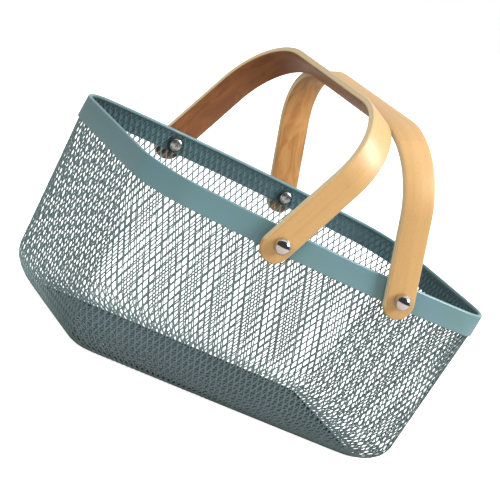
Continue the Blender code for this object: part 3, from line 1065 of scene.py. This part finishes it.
@dataclass(frozen=True)
class RimBand:
    """The steel strip round the rim, its top edge rolled inwards to a bead."""

    shape: TubShape
    bead_radius: float = 1.7 * MM
    bead_steps: int = 18
    segments: int = 384
    lip: float = 0.25 * MM

    def profile(self, hoop: float) -> list[tuple[float, float]]:
        """Draw the band's section.

        Args:
            hoop: Radius of the band's outer face on the bench.

        Returns:
            Points of the section, as radius and height.
        """
        low = self.shape.height - self.shape.band_height
        inner = hoop - self.shape.band_thickness
        centre = (hoop - self.bead_radius, self.shape.height - self.bead_radius)
        sweep = FULL_TURN - math.acos(1 - self.shape.band_thickness / self.bead_radius)
        points = [(hoop, low + self.lip)]
        for i in range(self.bead_steps + 1):
            angle = sweep * i / self.bead_steps
            points.append(
                (
                    centre[0] + self.bead_radius * math.cos(angle),
                    centre[1] + self.bead_radius * math.sin(angle),
                )
            )
        points += [(inner, low + self.lip), (inner + self.lip, low), (hoop - self.lip, low)]
        return points

    def build(self) -> None:
        """Turn the band as a round hoop, then press it to the rim's outline."""
        hoop = self.shape.rim.half_length
        band = turned("rim_strip", self.profile(hoop), self.segments, closed=True)

        def press(point: Vector) -> Vector:
            """Press a point of the round hoop to the rim's outline.

            Args:
                point: Place on the round hoop.

            Returns:
                Place on the rim.
            """
            place, out = self.shape.rim.point(math.atan2(point.y, point.x) / FULL_TURN)
            place = place + out * (point.xy.length - hoop)
            return Vector((place.x, place.y, point.z))

        band.form(press)
        band.smooth(40)
        band.dress(BAND_COAT, "basket", "band_coating", "rim_band")


# Handles and pivots


class End(Enum):
    """An end of the basket, as the sign of x."""

    LEFT = -1
    RIGHT = 1


class Side(Enum):
    """A long side of the basket, as the sign of y."""

    FRONT = -1
    BACK = 1


@dataclass(frozen=True)
class Pivots:
    """Where the handles turn, and what they turn against."""

    shape: TubShape
    x: float = 63.05 * MM
    z: float = 157.7 * MM
    handle_face: float = 130.46 * MM
    handle_thickness: float = 6.0 * MM

    def band_face(self, x: float) -> float:
        """Distance from the middle plane to the band's outer face.

        Args:
            x: Place along the long side.

        Returns:
            The distance.
        """
        side = self.shape.rim.quarter[2]
        return side.centre[1] + math.sqrt(side.radius**2 - x**2)


@dataclass(frozen=True)
class Stack:
    """The hardware at one pivot: domed sleeve nut, spacer, washer and screw."""

    pivots: Pivots
    end: End
    side: Side
    contact: float = 0.3 * MM
    segments: int = 64
    ease: float = 0.2 * MM
    bore: float = 2.8 * MM
    dome_radius: float = 6.9 * MM
    dome_edge: float = 3.4 * MM
    dome_height: float = 8.8 * MM
    dome_steps: int = 20
    sleeve_radius: float = 4.0 * MM
    # The nut's bore ends, and the screw's tip stops, this far from the handle's face
    bore_stop: float = 1.0 * MM
    spacer_bore: float = 4.3 * MM
    spacer_radius: float = 7.8 * MM
    mesh_thickness: float = 1.0 * MM
    washer_radius: float = 7.5 * MM
    washer_thickness: float = 0.8 * MM
    washer_ease: float = 0.25 * MM
    head_radius: float = 5.8 * MM
    head_edge: float = 1.0 * MM
    head_crown: float = 1.7 * MM
    head_steps: int = 10
    # Power of the head's sine profile: below 1 its shoulder is fuller than a quarter circle's
    head_shoulder: float = 0.7
    shank_radius: float = 2.5 * MM
    recess_size: tuple[float, float, float] = (5.6 * MM, 1.15 * MM, 4.0 * MM)
    recess_taper: tuple[float, float, float] = (0.35, 0.75, 1.0)
    recess_turn: float = 0.5

    def build(self) -> None:
        """Make the four pieces."""
        self.make_nut()
        self.make_spacer()
        self.make_washer()
        self.make_screw()

    def name(self, kind: str) -> str:
        """Name of a piece or node at this pivot."""
        return f"{kind}_{self.side.name.lower()}_{self.end.name.lower()}"

    @property
    def mesh_face(self) -> float:
        """Distance from the middle plane to the mesh's inner face under the washer."""
        band = self.pivots.band_face(self.pivots.x + self.washer_radius)
        return band - self.pivots.shape.mesh_inset - self.mesh_thickness

    def fit(self, piece: Piece, distance: float, finish: Finish, slot: str, node: str) -> None:
        """Put a turned piece on the pivot, with its Z axis outwards, and dress it.

        Args:
            piece: The piece.
            distance: Distance of its origin from the middle plane.
            finish: Its finish.
            slot: Name of a material slot, handed on to the piece's dress.
            node: Kind of CAD node that it stands for.
        """
        way = self.side.value
        spot = Vector((self.end.value * self.pivots.x, way * distance, self.pivots.z))
        piece.put(Matrix.Translation(spot) @ Matrix.Rotation(-way * math.pi / 2, 4, "X"))
        piece.smooth(30)
        piece.dress(finish, "basket", slot, self.name(node))

    def make_nut(self) -> None:
        """Turn the domed sleeve nut."""
        pivots, radius, edge, bore = self.pivots, self.dome_radius, self.dome_edge, self.bore
        profile = [(0.0, self.dome_height)]
        for i in range(self.dome_steps - 1, -1, -1):
            angle = math.pi / 2 * i / self.dome_steps
            rise = (self.dome_height - edge) * math.sin(angle)
            profile.append((radius * math.cos(angle), edge + rise))
        seat = pivots.band_face(pivots.x - self.sleeve_radius) + self.contact
        length = pivots.handle_face + self.contact - seat
        profile += [
            (radius, self.ease),
            (radius - self.ease, 0.0),
            (self.sleeve_radius, 0.0),
            (self.sleeve_radius, -length),
            (bore, -length),
            (bore, -self.bore_stop),
            (0.0, -self.bore_stop),
        ]
        nut = turned(self.name("dome"), profile, self.segments, closed=False)
        self.fit(nut, pivots.handle_face + self.contact, CHROME, "chrome_nut", "sleeve_nut")

    def make_spacer(self) -> None:
        """Turn the spacer between the band and the handle."""
        pivots = self.pivots
        seat = pivots.band_face(pivots.x - self.spacer_radius) + self.contact
        high = pivots.handle_face - pivots.handle_thickness - self.contact - seat
        profile = ring(self.spacer_bore, self.spacer_radius, high, self.ease)
        spacer = turned(self.name("shim"), profile, self.segments, closed=True)
        self.fit(spacer, seat, ZINC, "spacer_steel", "spacer")

    def make_washer(self) -> None:
        """Turn the dark washer under the screw's head."""
        ease, high = self.washer_ease, self.washer_thickness
        bore, radius = self.bore, self.washer_radius
        profile = [
            (bore, ease),
            (bore, high),
            (radius, high),
            (radius, ease),
            (radius - ease, 0.0),
            (bore + ease, 0.0),
        ]
        washer = turned(self.name("washer"), profile, self.segments, closed=True)
        seat = self.mesh_face - self.contact - high
        self.fit(washer, seat, BLACK_OXIDE, "washer_black", "inner_washer")

    def make_screw(self) -> None:
        """Turn the pan head screw and cut its cross recess."""
        high = self.head_edge + self.head_crown
        seat = self.mesh_face - 2 * self.contact - self.washer_thickness
        length = self.pivots.handle_face - self.bore_stop - seat
        profile = [(0.0, -high)]
        for i in range(1, self.head_steps + 1):
            angle = math.pi / 2 * i / self.head_steps
            radius = self.head_radius * math.sin(angle) ** self.head_shoulder
            profile.append((radius, -self.head_edge - self.head_crown * math.cos(angle)))
        shank = self.shank_radius
        profile += [(self.head_radius, 0.0), (shank, 0.0), (shank, length), (0.0, length)]
        screw = turned(self.name("pan_head"), profile, self.segments, closed=False)
        for turn in (self.recess_turn, self.recess_turn + math.pi / 2):
            bpy.ops.object.select_all(action="DESELECT")
            bpy.ops.mesh.primitive_cube_add(size=1.0)
            arm = Piece("recess_arm")
            with arm.editing():
                bpy.ops.transform.resize(value=self.recess_size)
                arm.choose("faces", lambda face: face.normal.z > 0.9)
                bpy.ops.transform.resize(value=self.recess_taper)
            arm.put(Matrix.Translation((0.0, 0.0, -high)) @ Matrix.Rotation(turn, 4, "Z"))
            screw.cut(arm)
        self.fit(screw, seat, ZINC, "screw_steel", "screw")


@dataclass(frozen=True)
class Handle:
    """A bentwood handle: a laminated strip bent to a U, with full round ends."""

    end: End
    pivots: Pivots
    width: float = 27.6 * MM
    rise: float = 135.3 * MM
    bend_radius: float = 63.9 * MM
    end_drop: float = 3.7 * MM
    meeting_gap: float = 0.6 * MM
    bend_steps: int = 40
    end_steps: int = 16
    easing: float = 1.2 * MM
    hole_radius: float = 4.4 * MM
    drill_overrun: float = 5 * MM
    drill_steps: int = 48
    # Each handle is cut from its own stretch of veneer, so their figures differ
    figure_shift: float = 0.7
    # The ends' bevels stop just short of each other, and their last points are merged
    bevel_short: float = 0.02 * MM
    bevel_merge: float = 0.06 * MM

    @property
    def lean(self) -> float:
        """Lean over the middle, at which the two handles meet."""
        reach = math.hypot(self.width / 2, self.rise)
        edge = math.atan2(self.width / 2, self.rise)
        return math.asin((self.pivots.x - self.meeting_gap / 2) / reach) - edge

    @property
    def leg_end(self) -> float:
        """Height of a leg's end, below the pivot."""
        return -self.end_drop - self.width / 2

    @property
    def bend_centre(self) -> tuple[float, float]:
        """Centre of the bend on the +Y side, as y and z above the pivot."""
        return self.pivots.handle_face - self.bend_radius, self.rise - self.bend_radius

    def build(self) -> None:
        """Bend the strip, round its ends, drill it, record its grain and lean it into place."""
        strip = self.bend_strip()
        self.round_ends(strip)
        strip.apply(
            "BEVEL",
            width=self.easing,
            segments=3,
            limit_method="ANGLE",
            angle_limit=math.radians(40),
        )
        self.drill(strip)
        self.record_grain(strip)
        spot = Vector((self.end.value * self.pivots.x, 0.0, self.pivots.z))
        turn = Matrix.Rotation(-self.end.value * self.lean, 4, "Y")
        strip.put(Matrix.Translation(spot) @ turn)
        strip.smooth(35)
        node = f"{self.end.name.lower()}_handle"
        finish = LEFT_SHADED_BEECH if self.end is End.LEFT else RIGHT_LIT_BEECH
        strip.dress(finish, node, "bentwood", node)

    def bend_strip(self) -> Piece:
        """Extrude and spin the strip's section along the U.

        Returns:
            The plain U with square ends.
        """
        thick = self.pivots.handle_thickness
        middle = self.pivots.handle_face - thick / 2
        bend_y, bend_z = self.bend_centre
        bpy.ops.object.select_all(action="DESELECT")
        bpy.ops.mesh.primitive_plane_add(size=1.0)
        strip = Piece(f"{self.end.name.lower()}_bentwood")
        with strip.editing():
            bpy.ops.transform.resize(value=(self.width, thick, 1.0))
            bpy.ops.transform.translate(value=(0.0, middle, self.leg_end))
            leg = bend_z - self.leg_end
            bpy.ops.mesh.extrude_region_move(TRANSFORM_OT_translate={"value": (0, 0, leg)})
            self.bend(bend_y, bend_z)
            bpy.ops.mesh.extrude_region_move(
                TRANSFORM_OT_translate={"value": (0, -2 * bend_y, 0)}
            )
            self.bend(-bend_y, bend_z)
            bpy.ops.mesh.extrude_region_move(TRANSFORM_OT_translate={"value": (0, 0, -leg)})
            bpy.ops.mesh.select_all(action="SELECT")
            bpy.ops.mesh.remove_doubles(threshold=0.01 * MM)
            strip.face_out()
        return strip

    def bend(self, y: float, z: float) -> None:
        """Spin the selected end face through a quarter turn about a bend's centre.

        Args:
            y: The centre's y.
            z: The centre's z.
        """
        bpy.ops.mesh.spin(
            steps=self.bend_steps,
            angle=-math.pi / 2,
            center=(0.0, y, z),
            axis=(1.0, 0.0, 0.0),
        )

    def round_ends(self, strip: Piece) -> None:
        """Bevel the corners of both leg ends to full rounds.

        Args:
            strip: The plain U.
        """
        low = self.leg_end

        def at_corner(edge: Any) -> bool:
            """Test whether an edge runs through the strip's thickness at a leg's end.

            Args:
                edge: The edge.

            Returns:
                The test's result.
            """
            first, second = (vertex.co for vertex in edge.verts)
            at_end = abs(first.z - low) < MM / 10 and abs(second.z - low) < MM / 10
            return at_end and abs(first.x - second.x) < MM / 10

        with strip.editing():
            strip.choose("edges", at_corner)
            offset = self.width / 2 - self.bevel_short
            bpy.ops.mesh.bevel(offset=offset, segments=self.end_steps, affect="EDGES")
            bpy.ops.mesh.select_all(action="SELECT")
            bpy.ops.mesh.remove_doubles(threshold=self.bevel_merge)

    def drill(self, strip: Piece) -> None:
        """Drill the turning hole through both legs.

        Args:
            strip: The bent strip.
        """
        reach = self.pivots.handle_face + self.drill_overrun
        radius = self.hole_radius
        profile = [(0.0, -reach), (radius, -reach), (radius, reach), (0.0, reach)]
        bit = turned("drill", profile, self.drill_steps, closed=False)
        bit.put(Matrix.Rotation(math.pi / 2, 4, "X"))
        strip.cut(bit)

    def record_grain(self, strip: Piece) -> None:
        """Store each point's place on the straight strip: along, across and depth.

        Args:
            strip: The bent strip, not yet leaned.
        """
        face = self.pivots.handle_face
        bend_y, bend_z = self.bend_centre
        half_bend = self.bend_radius * math.pi / 2
        shift = self.figure_shift if self.end is End.RIGHT else 0.0
        data = strip.obj.data
        values: list[float] = []
        for vertex in data.vertices:
            x, y, z = vertex.co
            side = 1 if y > 0 else -1
            if z <= bend_z:
                to_middle, depth = bend_y + half_bend + bend_z - z, face - abs(y)
            elif abs(y) <= bend_y:
                to_middle, depth = abs(y), self.rise - z
            else:
                angle = math.atan2(abs(y) - bend_y, z - bend_z)
                to_middle = bend_y + self.bend_radius * angle
                depth = self.bend_radius - math.hypot(abs(y) - bend_y, z - bend_z)
            values += [side * to_middle + shift, x, depth]
        store = data.attributes.new("strip", "FLOAT_VECTOR", "POINT")
        store.data.foreach_set("vector", values)


# Studio


@dataclass(frozen=True)
class Studio:
    """Pale floor, soft light and the camera at the photograph's angle."""

    azimuth: float = -30.04
    elevation: float = 8.92
    roll: float = 29.81
    distance: float = 1.72385
    target_height: float = 102.23 * MM
    across: float = -0.90 * MM
    down: float = 18.93 * MM
    focal_pixels: float = 1988.3
    frame_pixels: int = 500
    sensor: float = 36.0
    far_clip: float = 200.0
    paper_facets: int = 96
    paper_radius: float = 40.0
    paper_middle: float = 2.0
    paper_drop: float = 0.05 * MM
    wall_light: float = 0.06
    ceiling_light: float = 1.8
    # How steeply up a way points where the ceiling's light starts and where it is full
    ceiling_edge: tuple[float, float] = (0.72, 0.88)
    backdrop_light: float = 0.95
    backdrop_way: tuple[float, float, float] = (0.383, 0.663, 0.643)
    backdrop_edge: tuple[float, float] = (0.36, 0.48)
    key_spot: tuple[float, float, float] = (1.85, -1.1, 1.75)
    key_size: float = 1.1
    key_watts: float = 86.0
    fill_spot: tuple[float, float, float] = (-1.9, -1.5, 0.8)
    fill_size: float = 1.2
    fill_watts: float = 30.0
    light_target: tuple[float, float, float] = (0.0, 0.0, 0.1)

    def build(self) -> None:
        """Lay the floor, hang the lights and set up the camera."""
        # The plain display curve keeps the paper white and the finishes at their own colours.
        bpy.context.scene.view_settings.view_transform = "Standard"
        self.lay_floor()
        self.light_world()
        self.hang_lights()
        self.set_camera()

    def lay_floor(self) -> None:
        """Lay a wide round sheet of studio paper under the basket."""
        bpy.ops.object.select_all(action="DESELECT")
        bpy.ops.mesh.primitive_circle_add(
            vertices=self.paper_facets, radius=self.paper_radius, fill_type="NGON"
        )
        floor = Piece("studio_paper")
        with floor.editing():
            bpy.ops.mesh.inset(thickness=self.paper_radius - self.paper_middle)
        floor.put(Matrix.Translation((0.0, 0.0, -self.paper_drop)))
        floor.obj.data.materials.append(WhitePaper("studio_paper").material)

    def light_world(self) -> None:
        """Light the room from its ceiling, and let the gloss mirror a backdrop in a dark room."""
        world = bpy.data.worlds.new("soft_room")
        bpy.context.scene.world = world
        world.use_nodes = True
        tree = world.node_tree
        tree.nodes.clear()
        node = functools.partial(add, tree)
        way = node("TexCoord", {}).outputs["Generated"]
        up = node("SeparateXYZ", {0: way}).outputs[2]
        behind = node("VectorMath", {0: way, 1: self.backdrop_way}, operation="DOT_PRODUCT")
        ceiling, backdrop = (
            node(
                "MapRange",
                {0: share, **ramp(edge, light), 3: self.wall_light},
                interpolation_type="SMOOTHSTEP",
            )
            for share, edge, light in (
                (up, self.ceiling_edge, self.ceiling_light),
                (behind, self.backdrop_edge, self.backdrop_light),
            )
        )
        path = node("LightPath", {}).outputs
        strength = node("Mix", {0: path["Is Glossy Ray"], 2: ceiling, 3: backdrop})
        room, seen = (
            node("Background", {"Color": linear("#FFFFFF"), "Strength": light})
            for light in (strength, 1.0)
        )
        mixed = node("MixShader", {0: path["Is Camera Ray"], 1: room, 2: seen})
        node("OutputWorld", {"Surface": mixed})

    def hang_lights(self) -> None:
        """Hang the key light at the right front and a weak fill at the left."""
        self.softbox("key", self.key_spot, self.key_size, self.key_watts)
        self.softbox("fill", self.fill_spot, self.fill_size, self.fill_watts)
        # The fill only lifts the shade; the chrome shows no lamp on that side.
        bpy.context.active_object.visible_glossy = False

    def softbox(
        self, name: str, spot: tuple[float, float, float], size: float, watts: float
    ) -> None:
        """Hang one softbox that faces the basket.

        Args:
            name: Name of the light.
            spot: Where it hangs.
            size: Its side.
            watts: Its power.
        """
        bpy.ops.object.light_add(type="AREA", location=spot)
        lamp = bpy.context.active_object
        lamp.name = name
        lamp.data.shape = "SQUARE"
        lamp.data.size = size
        lamp.data.energy = watts
        way = Vector(self.light_target) - Vector(spot)
        lamp.rotation_euler = way.to_track_quat("-Z", "Y").to_euler()

    def set_camera(self) -> None:
        """Stand the camera where the photograph was taken, rolled as it is."""
        azimuth, elevation = math.radians(self.azimuth), math.radians(self.elevation)
        back = Vector(
            (
                math.sin(azimuth) * math.cos(elevation),
                -math.cos(azimuth) * math.cos(elevation),
                math.sin(elevation),
            )
        )
        right = (-back).cross(Vector((0.0, 0.0, 1.0))).normalized()
        down = (-back).cross(right)
        cosine, sine = math.cos(math.radians(self.roll)), math.sin(math.radians(self.roll))
        turned_right = right * cosine - down * sine
        turned_down = right * sine + down * cosine
        target = Vector((0.0, 0.0, self.target_height))
        eye = target + back * self.distance
        eye -= turned_right * self.across + turned_down * self.down
        camera_data = bpy.data.cameras.new("photo_camera")
        camera_data.sensor_width = self.sensor
        camera_data.lens = self.focal_pixels / self.frame_pixels * self.sensor
        camera_data.clip_end = self.far_clip
        camera = bpy.data.objects.new("photo_camera", camera_data)
        bpy.context.scene.collection.objects.link(camera)
        axes = Matrix((turned_right, -turned_down, back)).transposed()
        camera.matrix_world = Matrix.Translation(eye) @ axes.to_4x4()
        bpy.context.scene.camera = camera


def main() -> None:
    """Build the tub, the handles, their pivots and the studio, in that order."""
    logging.basicConfig(level=logging.INFO, format="%(message)s")
    shape = TubShape()
    MeshTub(shape).build()
    RimBand(shape).build()
    pivots = Pivots(shape)
    for side in Side:
        for end in End:
            Stack(pivots, end, side).build()
    for end in End:
        Handle(end, pivots).build()
    Studio().build()


if __name__ == "__main__":
    main()
